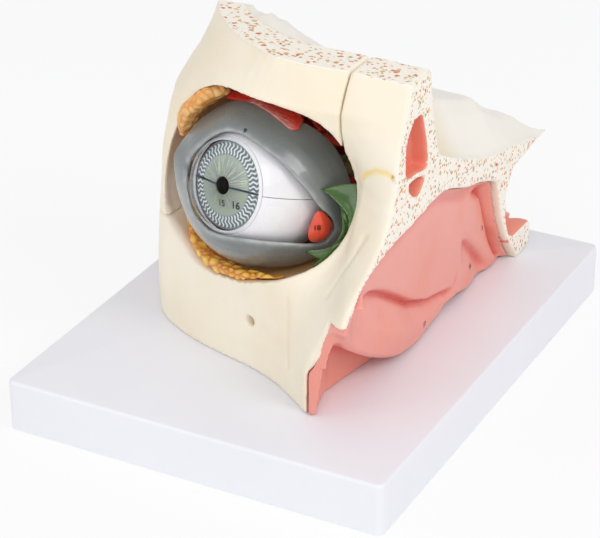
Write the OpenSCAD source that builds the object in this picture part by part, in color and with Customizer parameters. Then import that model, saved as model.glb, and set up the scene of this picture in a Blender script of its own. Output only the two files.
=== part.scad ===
// Eye anatomy model: a right eye in its bony orbit, about three times life size, on a board.
// -Y is the front, +X is the side of the nose with the flat midline cut, +Z is up.
// The origin is the centre of the underside of the board. Lengths are millimetres.
// The orbit roof lifts off, then the eye with its muscles lifts out and comes apart in layers.

/* [Board] */
// Width of the board
board_w = 250; // [240:1:280]
// Depth of the board
board_d = 330; // [320:1:360]
// Height of the board, which is a hollow tray open below
board_h = 33; // [28:1:38]
// Wall of the board
board_wall = 3; // [2:0.5:4]
// Radius of the board's upright corners
board_corner = 5; // [4:0.5:12]
// Radius of the board's top edge
board_edge = 2; // [1:0.5:3]

/* [Skull] */
// Distance of the flat midline cut from the board's centre
mid_x = 84; // [83:0.5:85]
// Height of the level cut through the forehead
cut_z = 222; // [216:1:224]
// Gap left in the seams round the removable roof
seam_gap = 0.4; // [0.3:0.05:0.8]
// Diameter of the two pegs that locate the roof
peg_d = 5; // [4:0.5:6]

/* [Eye] */
// Outer radius of the eyeball
eye_r = 44; // [43:0.5:44.5]
// Wall of the white outer coat
sclera_wall = 3; // [2.5:0.5:3.5]
// Wall of the dark middle coat
choroid_wall = 2; // [1.5:0.5:2.5]
// Radius of the clear cornea where it meets the white coat
cornea_r = 29.5; // [29:0.5:30]
// Height of the cornea above the circle that it stands on
cornea_rise = 14.5; // [13:0.5:15]
// Radius of the iris
iris_r = 26; // [25:0.5:26]
// Radius of the pupil
pupil_r = 5.5; // [4.5:0.5:7]
// Radius of the lens
lens_r = 15; // [13:0.5:16]
// Gap between one coat and the next
coat_gap = 0.4; // [0.3:0.05:0.5]

/* [Eyelids] */
// Thickness of the eyelid plate
lid_t = 4; // [3:0.5:4]

/* [Hidden] */
$fn = 96;

// Centre of the eyeball, and the turn of its gaze up and to the side
eye_c = [-18, -38, 134];
gaze_up = 16.8;
gaze_out = 15.6;
// Deepest point of the orbit, where muscles and nerve come together
apex = [40, 62, 148];
// Middle of the opening of the orbit
rim_c = [-15, -58, 143];
// Flat medial wall of the orbit, and of the nose on its other side
orbit_wall_x = 50.5;
nose_wall_x = 56;
// The roof zone: medial seam, seam heights at the rim and behind, and its back
seam_x = 44;
seam_rim_z = 98;
seam_side_z = 138;
seam_back_y = 60;
// Below this height the nose's side of this line stays with the block
cheek_x = 0;
cheek_z = 152;

// ---------- shared functions ----------

function clamp01(v) = min(1, max(0, v));
function ease(v) = let (c = clamp01(v)) c * c * (3 - 2 * c);
function mix(a, b, t) = a + (b - a) * t;
function spline(a, b, c, d, t) =
    0.5 * (2 * b + (c - a) * t + (2 * a - 5 * b + 4 * c - d) * t * t + (3 * b - a - 3 * c + d) * t * t * t);
// Closed smooth curve through points, k steps to each
function smooth_ring(p, k) =
    let (n = len(p))
    [for (i = [0:n - 1], j = [0:k - 1])
        spline(p[(i + n - 1) % n], p[i], p[(i + 1) % n], p[(i + 2) % n], j / k)];
// Open smooth curve through points, k steps to each
function smooth_line(p, k) =
    let (n = len(p))
    [for (i = [0:n - 2], j = [0:(i == n - 2 ? k : k - 1)])
        spline(p[max(i - 1, 0)], p[i], p[i + 1], p[min(i + 2, n - 1)], j / k)];
// Smooth reading of a table of [key, value] rows
function read(key, table) =
    let (n = len(table), i = read_row(key, table, 0))
    key <= table[0][0] ? table[0][1] :
    key >= table[n - 1][0] ? table[n - 1][1] :
    mix(table[i][1], table[i + 1][1], (key - table[i][0]) / (table[i + 1][0] - table[i][0]));
function read_row(key, table, i) =
    i >= len(table) - 2 || key < table[i + 1][0] ? i : read_row(key, table, i + 1);
function flip(p) = [for (i = [len(p) - 1:-1:0]) p[i]];
function lift(p, z) = [for (q = p) [q.x, q.y, z]];
// Skin through rings of equal count, each anticlockwise as seen from the last ring's side
module loft(rings) {
    n = len(rings[0]);
    m = len(rings);
    polyhedron(
        points = [for (r = rings) each r],
        faces = concat(
            [[for (i = [0:n - 1]) i]],
            [for (k = [0:m - 2], i = [0:n - 1])
                let (a = k * n, b = a + n, j = (i + 1) % n)
                    each [[a + i, b + i, a + j], [a + j, b + i, b + j]]],
            [[for (i = [n - 1:-1:0]) (m - 1) * n + i]]
        ),
        convexity = 8
    );
}

// Flattened tube along a smooth path; size rows are [half width, half thickness]
module strap(path, size, face, k = 3, sides = 10) {
    line = smooth_line(path, k);
    girth = smooth_line(size, k);
    n = len(line);
    loft([for (i = [0:n - 1])
        let (
            d = line[min(i + 1, n - 1)] - line[max(i - 1, 0)],
            along_dir = d / norm(d),
            out = line[i] - face,
            flat = cross(along_dir, out),
            wide = flat / norm(flat),
            thin = cross(wide, along_dir)
        )
        [for (j = [0:sides - 1])
            line[i] + wide * girth[i].x * cos(360 * j / sides) - thin * girth[i].y * sin(360 * j / sides)]
    ]);
}

module in_eye() {
    translate(eye_c) rotate([-gaze_up, 0, 0]) rotate([0, 0, -gaze_out]) children();
}

// ---------- board ----------

screw_at = [[-60, -30], [10, -66], [20, 80]];
boss_d = 16;
screw_d = 6;
screw_head_d = 11;
screw_head_h = 4;
screw_reach = 16;
rib_t = 2.5;
rib_bottom = 4;     // the ribs stop this far above the table

module board_blank(shrink, bottom, height, edge) {
    corner = max(board_corner - shrink, 1);
    hull() for (x = [-1, 1], y = [-1, 1])
        translate([x * (board_w / 2 - shrink - corner), y * (board_d / 2 - shrink - corner), bottom])
            rotate_extrude($fn = 32) {
                square([corner, height - edge]);
                square([corner - edge, height]);
                translate([corner - edge, height - edge]) intersection() {
                    circle(edge, $fn = 24);
                    square(edge);
                }
            }
}

module base_board() {
    color("#eeeef4") difference() {
        union() {
            difference() {
                board_blank(0, 0, board_h, board_edge);
                board_blank(board_wall, -1, board_h - board_wall + 1, 0.5);
            }
            translate([-rib_t / 2, -board_d / 2 + 1, rib_bottom])
                cube([rib_t, board_d - 2, board_h - board_wall - rib_bottom + 0.5]);
            translate([-board_w / 2 + 1, -rib_t / 2, rib_bottom])
                cube([board_w - 2, rib_t, board_h - board_wall - rib_bottom + 0.5]);
            for (p = screw_at)
                translate([p.x, p.y, 6]) cylinder(d = boss_d, h = board_h - board_wall - 5.5);
        }
        for (p = screw_at) translate([p.x, p.y, 0]) {
            cylinder(d = screw_d + 0.6, h = board_h + 1);
            cylinder(d = screw_head_d + 1, h = 6 + screw_head_h + 0.5);
        }
    }
}

module board_screw(p) {
    color("#9a9a9e") translate([p.x, p.y, 6.5]) {
        difference() {
            cylinder(d = screw_head_d, h = screw_head_h);
            translate([0, 0, -1]) cylinder(d = 5, h = 3, $fn = 6);
        }
        cylinder(d = screw_d, h = board_h - 6.5 + screw_reach);
    }
}
module board_screw_1() { board_screw(screw_at[0]); }
module board_screw_2() { board_screw(screw_at[1]); }
module board_screw_3() { board_screw(screw_at[2]); }

// ---------- skull ----------

// Level outlines of the skull, from the midline in front, round the side, to the midline behind
skull_levels = [
    [33, [[110, -124], [84, -124], [68, -121], [55, -118], [37, -106], [19, -94], [-5, -84], [-38, -75],
        [-68, -62], [-89, -44], [-99, -10], [-92, 28], [-66, 58], [-15, 88], [45, 112], [110, 140]]],
    [60, [[110, -130], [84, -129], [68, -125], [53, -119], [36, -101], [19, -88], [-5, -79], [-38, -70],
        [-68, -58], [-91, -42], [-102, -10], [-95, 28], [-68, 60], [-15, 90], [45, 114], [110, 146]]],
    [85, [[110, -136], [84, -134], [68, -126], [57, -113], [38, -93], [16, -84], [-10, -78], [-38, -65],
        [-66, -52], [-91, -40], [-101, -8], [-95, 28], [-68, 60], [-15, 90], [45, 116], [110, 150]]],
    [107, [[110, -142], [84, -135], [70, -119], [60, -98], [46, -81], [18, -82], [-8, -76], [-38, -63],
        [-66, -50], [-90, -38], [-101, -8], [-94, 28], [-68, 60], [-18, 90], [42, 120], [110, 160]]],
    [122, [[110, -127], [84, -115.5], [70, -98], [60, -82], [50, -70], [22, -75], [-6, -72], [-36, -60],
        [-66, -49], [-90, -36], [-99, -8], [-93, 28], [-68, 60], [-20, 88], [40, 118], [110, 162]]],
    [137, [[110, -94], [84, -86], [70, -76], [58, -66], [50, -59], [22, -68], [-6, -66], [-36, -58],
        [-65, -48], [-90, -34], [-98, -8], [-92, 28], [-68, 58], [-20, 84], [40, 114], [110, 162]]],
    [155, [[110, -72], [84, -71], [70, -65], [58, -57], [49, -51], [22, -62], [-6, -62], [-36, -56],
        [-63, -46], [-87, -33], [-96, -6], [-91, 28], [-68, 56], [-20, 80], [40, 110], [110, 162]]],
    [178, [[110, -70], [84, -67], [70, -64], [58, -60], [44, -56], [22, -62], [-6, -63], [-36, -57],
        [-63, -45], [-83, -30], [-94, 0], [-90, 30], [-68, 54], [-20, 76], [40, 106], [110, 160]]],
    [200, [[110, -60], [84, -58], [70, -59], [58, -60], [44, -60.5], [20, -63], [-8, -61], [-34, -52],
        [-56, -38], [-72, -20], [-83, 6], [-84, 32], [-68, 52], [-20, 72], [40, 100], [110, 150]]],
    [222, [[110, -50], [84, -49], [70, -48.5], [58, -48], [45, -47.5], [20, -49], [-4, -47], [-27, -35],
        [-45, -23], [-61, -8], [-74, 9], [-80, 30], [-68, 52], [-20, 72], [40, 96], [110, 140]]]
];
level_steps = 2;
ring_steps = 4;

function skull_station(i) = smooth_line([for (l = skull_levels) [l[1][i].x, l[1][i].y, l[0]]], level_steps);

module skull_form() {
    stations = [for (i = [0:len(skull_levels[0][1]) - 1]) skull_station(i)];
    loft([for (k = [0:len(stations[0]) - 1])
        flip(lift(smooth_ring([for (s = stations) [s[k].x, s[k].y]], ring_steps), stations[0][k].z))]);
}

// Edge of the orbit's opening, from its top, clockwise as seen from the front
rim = [
    [-18, -60, 199], [12, -61, 197], [31, -60, 192], [43, -54, 177], [51, -50, 150], [52, -58, 134],
    [48, -68, 121], [37, -77, 109], [20, -81, 99], [0, -78, 91], [-34, -63, 82], [-58, -50, 84],
    [-76, -42, 94], [-85, -39, 105], [-86, -38, 121], [-81, -39, 147], [-72, -42, 167], [-63, -47, 184],
    [-48, -53, 195], [-33, -57, 198]
];
// Rows of [way from the opening to the apex, width of the section, its height above the axis]
orbit_sections = [
    [0, 1, 1], [0.04, 1.03, 1], [0.1, 1.05, 0.98], [0.2, 1.04, 0.9], [0.32, 1, 0.79],
    [0.46, 0.92, 0.67], [0.6, 0.8, 0.55], [0.75, 0.62, 0.42], [0.9, 0.4, 0.3], [1, 0.22, 0.2]
];

// The hollow of the orbit, with a funnel in front that rounds the rim
module orbit_hollow() {
    edge = smooth_ring(rim, 2);
    front = [
        [for (p = edge) rim_c + [-12, -90, 10] + (p - rim_c) * 1.2],
        [for (p = edge) rim_c + [-1, -7, 1] + (p - rim_c) * 1.05]
    ];
    inside = [for (s = orbit_sections)
        [for (p = edge)
            let (
                out = p - rim_c,
                q = mix(rim_c, apex, s[0]) + [out.x * s[1], out.y * s[1], out.z * s[out.z > 0 ? 2 : 1]]
            )
            [s[0] > 0 ? min(q.x, orbit_wall_x) : q.x, q.y, q.z]]];
    loft(concat(front, inside));
}

// Height of the cranial floor: low gutter at the midline, ledge beside it, roof plate of the orbit
gutter = [[-22, 166], [-8, 162], [17, 149], [61, 130], [88, 124], [118, 118], [147, 109], [200, 109]];
ledge = [[-22, 186], [0, 184], [30, 178], [49, 172], [76, 160], [90, 157], [110, 142], [131, 130], [200, 112]];
plate = [[0, 210], [30, 208], [50, 205], [60, 199], [80, 185], [100, 171], [120, 160]];
ledge_x = 58;
plate_w = 115;
// Inner face of the forehead at the level cut
wall_line = [[-90, 90], [-78, 62], [-70, 36], [-62, 18], [-55, 9], [-46, 1], [-34, -6], [-23, -12],
    [-12, -17], [-2, -21], [19, -21.5], [110, -22]];
wall_run = 15;

function floor_z(x, y) =
    let (
        low = read(y, gutter),
        side = read(y, ledge),
        far = read(y, plate)
    )
    x > ledge_x ? mix(low, side, ease((mid_x - x) / (mid_x - ledge_x))) :
        mix(side, far, pow(clamp01((ledge_x - x) / plate_w), 2.3));

module cranial_hollow() {
    xs = [for (x = [-92:8:-20]) x, for (x = [-8:11:36]) x, for (x = [46:7:102]) x];
    vs = [-60, -6, 0, 3, 7, 11, wall_run, 24, 36, 50, 66, 82, 98, 114, 132, 150, 175, 205];
    nx = len(xs);
    nv = len(vs);
    function wall_y(x) = read(x, wall_line);
    function height(x, v) =
        mix(cut_z + 12, floor_z(x, wall_y(x) + v), pow(clamp01((v + 0.5) / wall_run), 0.45));
    low = [for (x = xs, v = vs) [x, wall_y(x) + v, v < 0 ? cut_z + 12 : height(x, v)]];
    top = [for (x = xs, v = vs) [x, wall_y(x) + v, cut_z + 60]];
    last = nx * nv;
    polyhedron(
        points = concat(low, top),
        faces = concat(
            [for (i = [0:nx - 2], j = [0:nv - 2])
                let (a = i * nv + j) each [[a, a + nv, a + 1], [a + 1, a + nv, a + nv + 1]]],
            [for (i = [0:nx - 2], j = [0:nv - 2])
                let (a = last + i * nv + j) [a, a + 1, a + nv + 1, a + nv]],
            [for (j = [0:nv - 2]) [j, j + 1, last + j + 1, last + j]],
            [for (j = [0:nv - 2]) let (a = (nx - 1) * nv + j) [a, last + a, last + a + 1, a + 1]],
            [for (i = [0:nx - 2]) let (a = i * nv) [a, last + a, last + a + nv, a + nv]],
            [for (i = [0:nx - 2]) let (a = i * nv + nv - 1) [a, a + nv, last + a + nv, last + a]]
        ),
        convexity = 6
    );
}

// Side view of what the sloping cut takes off behind the forehead
crown_cut = [[12, cut_z + 20], [12, cut_z], [60, 203.5], [120, 178], [200, 150], [200, cut_z + 20]];
// Side view of the notch behind the sphenoid: from the tip of the clivus down to its foot
back_notch = [[200, 108], [151, 108], [129, 105], [109, 104], [101, 93], [98, 83], [118, 69], [139, 55],
    [144, 49], [143, 37], [133, 30], [200, 30]];
// Side view of the nose's hollow at the midline
nose_top = [[-133, 107], [-126, 107], [-121, 110], [-110, 121], [-100, 124], [-87, 127], [-73, 130],
    [-46, 131], [-16, 134], [0, 134], [9, 132], [36, 121], [56, 116], [77, 108], [84, 104], [89, 88],
    [94, 73], [101, 59], [111, 46], [121, 34.5]];
nose_low = [[-133, 105], [-121, 93], [-105, 76], [-91, 66], [-76, 56], [-54, 44], [-38, 37], [-11, 34.5],
    [20, 35], [34, 38], [46, 39], [60, 34.5], [121, 34]];
// Plan view of the inner wall of the nose's hollow
nose_wall = [[-133, 58], [-117.3, 50], [-117, 53.5], [-110, 50], [-92, 45], [-69, 48], [-40, 53], [-20, 56],
    [130, 56]];

// Bone left between the hollow of the nose and the outside, and where the opening in front is
bone_t = 4.5;
front_y = -117;
nose_high_x = 54.5;
nose_high_z = 98;
// Lower edge of the nasal bone over the opening
bridge_edge = [[-133, 106], [-128, 103.5], [-121, 101.5], [-117, 100]];

// Outside of the skull in front: its X at a given Y and height
function skin_x(y, z) =
    let (
        k = read_row(z, skull_levels, 0),
        a = skull_levels[k],
        b = skull_levels[k + 1],
        t = (z - a[0]) / (b[0] - a[0])
    )
    read(y, [for (i = [0:4]) let (q = mix(a[1][i], b[1][i], t)) [q.y, q.x]]);

function bone_z(y) = y < front_y ? read(y, bridge_edge) : 72;
function nose_side(y, z) =
    max(read(y, nose_wall), z >= nose_high_z && y > front_y ? nose_high_x : 0,
        z < bone_z(y) ? 0 : min(skin_x(y - bone_t, z), mid_x + 10));
// Line up the side of the nose's hollow
function side_line(y, top, grow) =
    let (
        from = min(bone_z(y), top - 0.5),
        under = y < front_y ? from - 0.4 : mix(board_h + 1, from, 0.7)
    )
    [for (z = concat([under], [for (k = [0:6]) mix(from, top, k / 6)]))
        [nose_side(y, z) + grow, y, z]];

module along_x(depth) {
    translate([mid_x - depth, 0, 0]) rotate([90, 0, 90]) linear_extrude(depth + 30) children();
}

// Hollow of the nose, open towards the midline, the front and the board
module nose_hollow() {
    ys = [-150, -133, -128, -124, -121, front_y - 0.3, front_y + 0.3, -112, -106, -100, -92, -84, -76, -69, -62,
        -55, -40, -20];
    loft([for (y = ys)
        let (top = max(read(y, nose_top), bone_z(y) + 0.6))
        concat([[read(y, nose_wall), y, 20]], side_line(y, top, 0), [[140, y, top], [140, y, 20]])
    ]);
    along_x(mid_x - nose_wall_x) polygon(concat(
        [[-21, 133.9]], [for (q = nose_top) if (q[0] > -20) q], [[121, 20], [-21, 20]]));
}

frontal_pocket = [[-37, 199], [-44, 198], [-50, 193], [-54, 185], [-55, 176], [-53, 166], [-50, 157], [-43, 150],
    [-37, 148], [-32, 151], [-26, 158], [-24, 163], [-27, 178], [-31, 190], [-33, 197]];
frontal_bar = [[-58, 165], [-40, 164], [-20, 160], [-20, 156], [-42, 160], [-58, 161]];
sphenoid_pocket = [[99, 82], [118, 69], [150, 52], [136, 53], [112, 54], [106, 58], [101, 68]];
pocket_depth = 12;
lining_t = 1.6;

module face_marks() {
    // opening below the orbit for a nerve, and its shallow run
    translate([1, -66, 57]) rotate([70, 0, -30]) cylinder(d1 = 4, d2 = 7.5, h = 16, $fn = 24);
    // opening of the optic canal in the cranial floor
    translate([38, 61, 147.5]) rotate([86, 0, -128]) cylinder(d = 11, h = 30, $fn = 24);
}

module skull_whole() {
    difference() {
        intersection() {
            skull_form();
            translate([-150, -180, board_h]) cube([150 + mid_x, 360, cut_z - board_h]);
        }
        cranial_hollow();
        orbit_hollow();
        nose_hollow();
        along_x(200) polygon(crown_cut);
        along_x(200) polygon(back_notch);
        difference() {
            along_x(pocket_depth) polygon(frontal_pocket);
            along_x(pocket_depth - lining_t) polygon(frontal_bar);
        }
        along_x(pocket_depth + 2) polygon(sphenoid_pocket);
        face_marks();
    }
}

// Space that the roof takes: all above the seam, but not the cheek and the floor on the nose's side
module roof_zone(gap) {
    difference() {
        translate([-150, 0, 0]) rotate([90, 0, 90]) linear_extrude(150 + seam_x - gap)
            polygon([
                [-150, seam_rim_z + gap], [-28, seam_rim_z + gap], [-10, seam_side_z + gap],
                [seam_back_y - gap, seam_side_z + gap], [seam_back_y - gap, 260], [-150, 260]
            ]);
        translate([cheek_x - gap, -160, 0]) cube([100, 320, cheek_z + gap]);
    }
}

peg_at = [[-84, 6], [-66, 40]];
peg_h = 12;
peg_play = 0.1;

module skull_block() {
    color("#f3e6cb") difference() {
        resize([0, 0, cut_z - board_h]) difference() {
            skull_whole();
            roof_zone(0);
        }
        for (p = peg_at) translate([p.x, p.y, seam_side_z - 10]) cylinder(d = peg_d, h = 40, $fn = 32);
        for (p = screw_at) translate([p.x, p.y, 0]) cylinder(d = screw_d, h = board_h + screw_reach, $fn = 32);
    }
}

module orbit_roof() {
    color("#f5e9d0") difference() {
        resize([0, 0, cut_z - seam_rim_z - seam_gap]) intersection() {
            skull_whole();
            roof_zone(seam_gap);
        }
        for (p = peg_at) translate([p.x, p.y, seam_side_z - 1])
            cylinder(d = peg_d + 2 * peg_play, h = peg_h + 2, $fn = 32);
    }
}

module roof_peg(p) {
    color("#b9bbc0") translate([p.x, p.y, seam_side_z - 10]) {
        cylinder(d = peg_d, h = peg_h + 9);
        translate([0, 0, peg_h + 9]) cylinder(d1 = peg_d, d2 = peg_d - 1.6, h = 1);
    }
}
module roof_peg_front() { roof_peg(peg_at[0]); }
module roof_peg_back() { roof_peg(peg_at[1]); }

// ---------- wall of the nose ----------

// Courses of the folds, as [y, height], and their depths, as [y, depth]
crease = [[-110, 108], [-92, 104], [-80, 103], [-59, 92.6], [-39, 80], [-20, 67], [1, 57.5], [25, 52], [42, 47],
    [50, 78], [66, 67], [82, 51], [93, 40], [102, 35.5], [119, 34.5]];
crease_depth = [[-104, 0], [-92, 5], [-80, 8], [-20, 9], [10, 8], [30, 5], [42, 0], [50, 0], [56, 4], [80, 5],
    [98, 0]];
groove = [[60, 106], [77, 99], [85, 79], [92, 63], [100, 51], [110, 39], [119, 34.6]];
groove_depth = [[58, 0], [70, 5], [80, 9], [104, 9], [114, 3]];
// Shape across a fold: share of the depth at a distance above it
crease_shape = [[-26, 0], [-7, 0.75], [-1.5, 1], [1.5, 0]];
groove_shape = [[-6, 0], [-2, 1], [2, 1], [7, 0]];
swell_run = [[-70, 0], [-45, 5], [10, 5], [34, 2], [60, 0]];
face_x = 75;
face_front_x = 82;

function groove_z(y) = y < 60 ? read(y, nose_top) - 9 : read(y, groove);

// Medial face of the wall of the nose
function nose_face(y, z, top, low) =
    let (
        c = read(y, crease),
        edge = 6 * exp(-pow((top - z) / 3.5, 2)),
        swell = read(y, swell_run) * sin(180 * clamp01((z - low) / max(c - low, 1))),
        belly = 2.5 * sin(180 * clamp01((z - c) / max(top - c, 1)))
    )
    min(mid_x - 1, mix(face_front_x, face_x, clamp01((y + 124) / 20)) + edge + swell + belly
        - read(y, crease_depth) * read(z - c, crease_shape)
        - read(y, groove_depth) * read(z - groove_z(y), groove_shape));

// Makes heights fall by at least one step each, and stay above the last
function settle(zs, low, step, i = 0, last = 1000) =
    i >= len(zs) ? [] :
    let (z = max(min(zs[i], last - step), low + step * (len(zs) - 1 - i)))
    concat([z], settle(zs, low, step, i + 1, z));

module nasal_wall() {
    ys = [-126, -121, front_y - 0.8, front_y + 0.4, -111, -104, -97, -90, -83, -75, -67, -58, -49, -40, -30, -20,
        -10, 0, 10, 20, 30, 38, 44, 50, 57, 64, 70, 76, 81, 86, 91, 96, 102, 108, 114, 119];
    skin = 5;
    tuck = 3;
    color("#f0958a") loft([for (y = ys)
        let (
            top = min([for (d = [-0.8, 0, 0.8]) read(y + d, nose_top)]) - 0.3,
            low = min(read(y, nose_low), top - 0.8),
            c = read(y, crease),
            g = groove_z(y),
            tip = y < front_y,
            inward = clamp01((y - front_y) / 12),
            wall_gap = mix(0.3, 1, inward),
            thinnest = wall_gap + 1.3,
            lean = tip ? 0 : mix(7, 0, inward),
            side = tip ? skin_x(y, 100) + 0.5 : read(y, nose_wall) + wall_gap,
            zs = settle([top, top - 2.5, g + 5, g, g - 5, c + 6, c + 1.5, c - 1.5, c - 6, mix(c, low, 0.55),
                low + 3, low], low, min(0.3, (top - low) / 14)),
            // the arch in front hangs lower at the side, further back the fold is hollow below
            back = clamp01((y - front_y) / 17),
            drop = tip ? [-0.4, -0.4, 0, 0.5] : mix([-1, -5, -11, -20], [2, 3, 3, 1], back),
            root = nose_face(y, low, top, low) - tuck,
            wall = tip ? min(side + skin, root - 1.5) : side + skin,
            foot = tip ? low + 1 : board_h + 0.4
        )
        concat(
            [for (j = [0:len(zs) - 1]) let (face = nose_face(y, zs[j], top, low) - (j == len(zs) - 1 ? tuck : 0))
                [max(face, nose_side(y, zs[j]) + thinnest, nose_side(y, zs[j] + lean) + thinnest), y, zs[j]]],
            [for (k = [0:3])
                let (z = max(low + drop[k], foot + 0.2), under = nose_side(y, z + lean) + thinnest)
                [max(mix(root, wall, [0.3, 0.65, 0.9, 1][k]), tip ? 0 : under), y, z]],
            [[tip ? mix(wall, side, 0.5) : wall, y, foot], [side, y, foot + (tip ? 0.6 : 0)]],
            [for (q = side_line(y, top, wall_gap)) [max(q.x, side), y, q.z]]
        )
    ]);
}

module pocket_lining(outline, depth) {
    translate([mid_x - depth, 0, 0]) rotate([90, 0, 90]) linear_extrude(lining_t) polygon(outline);
}

module frontal_sinus() {
    color("#ea8577") pocket_lining(frontal_pocket, pocket_depth);
}

module sphenoid_sinus() {
    color("#e9736a") pocket_lining(
        [[99, 82], [118, 69], [138, 55.6], [136, 53], [112, 54], [106, 58], [101, 68]], pocket_depth + 2);
}

// ---------- soft parts fixed in the orbit ----------

module orbital_fat() {
    color("#eebe46") intersection() {
        strap([[-71, -26, 103], [-64, -37, 91], [-50, -50, 84.5], [-30, -61, 83], [-8, -69, 86], [14, -71, 91]],
            [[5, 3], [9, 5], [10, 5.5], [10, 5.2], [9, 4.6], [5, 2.6]], eye_c, 6, 12);
        orbit_hollow();
    }
}

module lacrimal_sac() {
    color("#4f8040") intersection() {
        strap([[40, -48, 141], [45.5, -48, 134], [47.5, -53, 122], [42, -62, 111], [31, -67, 102]],
            [[3, 1.5], [9, 2.5], [9, 2.5], [7, 2.2], [2, 1]], eye_c, 4, 10);
        orbit_hollow();
    }
}

module lacrimal_gland() {
    color("#efb25e") intersection() {
        strap([[-45, -34, 191], [-55, -36, 187], [-65, -37, 178], [-71, -36, 166], [-74, -34, 156]],
            [[5, 3], [11, 5], [12, 5.5], [10, 4], [5, 2]], eye_c, 4, 12);
        orbit_hollow();
    }
}

// ---------- eyeball ----------

coat_r = eye_r - sclera_wall - coat_gap;
glass_r = coat_r - choroid_wall - coat_gap;
base_y = sqrt(eye_r * eye_r - cornea_r * cornea_r);
dome_r = (cornea_r * cornea_r + cornea_rise * cornea_rise) / (2 * cornea_rise);
dome_wall = 2;
seat_r = iris_r + 0.5;

// Upper or lower half space of the eye, on one side of its split
module half(side) {
    translate([-100, -100, side > 0 ? coat_gap / 2 : -100 - coat_gap / 2]) cube([200, 200, 100]);
}

nerve_bore = 13;
// Turns a profile about the gaze; its y runs forward
module turned() {
    rotate([90, 0, 0]) rotate_extrude() children();
}

module coat_profile(r, wall) {
    intersection() {
        difference() {
            circle(r);
            circle(r - wall);
        }
        translate([0, -r]) square([r, 2 * r]);
    }
}

module sclera_half(side) {
    intersection() {
        turned() difference() {
            coat_profile(eye_r, sclera_wall);
            translate([0, base_y - coat_gap]) square([eye_r, eye_r]);
            square([seat_r, eye_r]);
            translate([0, -eye_r]) square([nerve_bore / 2, eye_r]);
        }
        half(side);
    }
}
module sclera_lower() { in_eye() color("#f0eef2") sclera_half(-1); }
module sclera_upper() { in_eye() color("#f0eef2") sclera_half(1); }

module cornea() {
    in_eye() color([0.85, 0.9, 0.95, 0.45]) difference() {
        intersection() {
            translate([0, dome_r - base_y - cornea_rise, 0]) sphere(dome_r);
            translate([0, -base_y, 0]) rotate([90, 0, 0]) cylinder(r = cornea_r, h = 40);
        }
        translate([0, dome_r - base_y - cornea_rise, 0]) sphere(dome_r - dome_wall);
    }
}

choroid_front = 30;

module choroid_half(side) {
    intersection() {
        turned() difference() {
            coat_profile(coat_r, choroid_wall);
            translate([0, choroid_front]) square([eye_r, eye_r]);
        }
        half(side);
    }
}
module choroid_lower() { in_eye() color("#5a2f2a") choroid_half(-1); }
module choroid_upper() { in_eye() color("#5a2f2a") choroid_half(1); }

iris_edge_y = 31.5;
iris_pupil_y = 36.3;
iris_t = 1.6;
iris_foot = 1.2;     // wall of the rim that stands on the middle coat
iris_seat = 0.1;

// Shallow cone with its pupil edge in front, on a low rim
module iris_half(side) {
    intersection() {
        turned() polygon([
            [pupil_r, iris_pupil_y], [iris_r, iris_edge_y], [iris_r, choroid_front + iris_seat],
            [iris_r - iris_foot, choroid_front + iris_seat], [iris_r - iris_foot, iris_edge_y - iris_t],
            [pupil_r, iris_pupil_y - iris_t]
        ]);
        half(side);
    }
}
module iris_lower() { in_eye() color("#97a08c") iris_half(-1); }
module iris_upper() { in_eye() color("#97a08c") iris_half(1); }

lens_t = 11;
lens_y = 19;
lens_curve = (lens_r * lens_r + lens_t * lens_t / 4) / lens_t;

module lens_profile(grow) {
    intersection() {
        translate([0, lens_y + lens_curve - lens_t / 2]) circle(lens_curve + grow);
        translate([0, lens_y - lens_curve + lens_t / 2]) circle(lens_curve + grow);
        square([eye_r, eye_r]);
    }
}

module lens() {
    in_eye() color([0.95, 0.93, 0.8, 0.6]) turned() lens_profile(0);
}

module vitreous_body() {
    in_eye() color([0.85, 0.92, 0.95, 0.5]) turned() difference() {
        intersection() {
            circle(glass_r);
            translate([0, -eye_r]) square([eye_r, eye_r + lens_y]);
        }
        lens_profile(coat_gap);
    }
}

// ---------- muscles and nerve ----------

module optic_nerve() {
    in_eye() color("#e8d79a") {
        rotate([-90, 0, 0]) translate([0, 0, eye_r - sclera_wall]) cylinder(d = nerve_bore, h = 6);
        strap([[0, 46, 0], [5, 60, 4], [14, 75, 15], [22, 87, 26]], [[6.5, 6.5], [5.5, 5.5], [5.5, 5.5], [4.5, 4.5]],
            [0, 60, -400], 3, 12);
    }
}

// Muscle from its tendon on the eyeball, back over it, to the apex of the orbit
module muscle(path, width, bulk = 1) {
    in_eye() color("#b8352c") strap(path,
        [for (w = [[0.5, 0.6], [0.5, 1.1], [0.55, 2.4], [0.5, 3], [0.34, 2.6]]) [w.x * width, w.y * bulk]],
        [0, 10, 0], 4, 10);
}
module medial_rectus() {
    muscle([[45.2, 3, 0], [46.4, 14, 1], [45.5, 30, 5], [39.5, 58, 16], [32.5, 85, 28]], 15);
}
module lateral_rectus() {
    muscle([[-36.4, -27.4, 0], [-46.1, -6, 0], [-46.5, 16, 1], [-30, 54, 10], [10, 85, 23]], 15);
}
module inferior_rectus() {
    muscle([[0, -20, -41.2], [0, -4, -46], [2, 17, -43.8], [11, 54, -17], [21, 83, 14]], 15, 0.55);
}
module superior_rectus() {
    muscle([[0, -22, 39.8], [0, -5, 46.1], [2, 18, 46.3], [11, 54, 43], [20, 84, 38]], 15, 0.85);
}
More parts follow.
